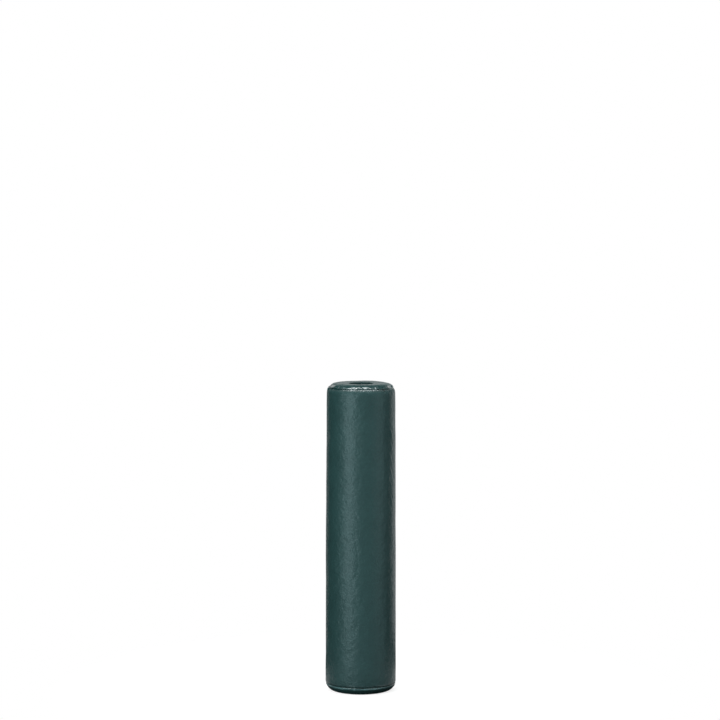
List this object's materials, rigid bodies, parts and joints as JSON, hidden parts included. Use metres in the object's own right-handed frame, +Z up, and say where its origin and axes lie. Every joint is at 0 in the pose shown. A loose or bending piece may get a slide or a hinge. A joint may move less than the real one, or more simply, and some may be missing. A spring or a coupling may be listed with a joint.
{
  "type": "goal post pad",
  "caption": "Tall round foam pad in dark green vinyl that opens like a clamshell to wrap round a post and closes at the back with a hook and loop flap.",
  "frame": {"origin": "on the bore's axis, level with the foot that stands on the ground", "axes": "+Z up along the bore; the unbroken front faces -Y, the split and its flap are at +Y; +X is the half that swings open"},
  "size_m": [0.4164, 0.4195, 1.829],
  "materials": {
    "green_vinyl": "satin, faint grain",
    "soft_foam": "matte",
    "firm_foam": "matte",
    "hook_tape": "matte hooks",
    "loop_tape": "matte pile",
    "brass": "polished"
  },
  "bodies": {
    "left_half": {"soft_foam_left": "soft_foam", "firm_foam_left": "firm_foam", "side_panel_left": "green_vinyl", "top_panel_left": "green_vinyl", "foot_panel_left": "green_vinyl", "bore_liner_left": "green_vinyl", "back_facing_left": "green_vinyl", "front_facing_left": "green_vinyl", "vent_eyelet_left_low": "brass", "vent_eyelet_left_high": "brass", "flap_hem": "green_vinyl"},
    "right_half": {"soft_foam_right": "soft_foam", "firm_foam_right": "firm_foam", "side_panel_right": "green_vinyl", "top_panel_right": "green_vinyl", "foot_panel_right": "green_vinyl", "bore_liner_right": "green_vinyl", "back_facing_right": "green_vinyl", "front_facing_right": "green_vinyl", "vent_eyelet_right_low": "brass", "vent_eyelet_right_high": "brass", "loop_tape": "loop_tape"},
    "flap": {"closure_flap": "green_vinyl", "hook_tape": "hook_tape"}
  },
  "joints": [
    {"name": "pad_opening", "type": "hinge", "parent": "left_half", "child": "right_half", "pos_m": [0, -0.208, 0.9145], "axis": [0, 0, -1], "range_deg": [0, 120]},
    {"name": "flap_lift", "type": "hinge", "parent": "left_half", "child": "flap", "pos_m": [-0.00303, 0.20984, 0.9145], "axis": [0, 0, 1], "range_deg": [0, 155]}
  ],
  "couplings": [
    {"joint": "flap_lift", "follows": "pad_opening", "ratio": 1.25}
  ]
}
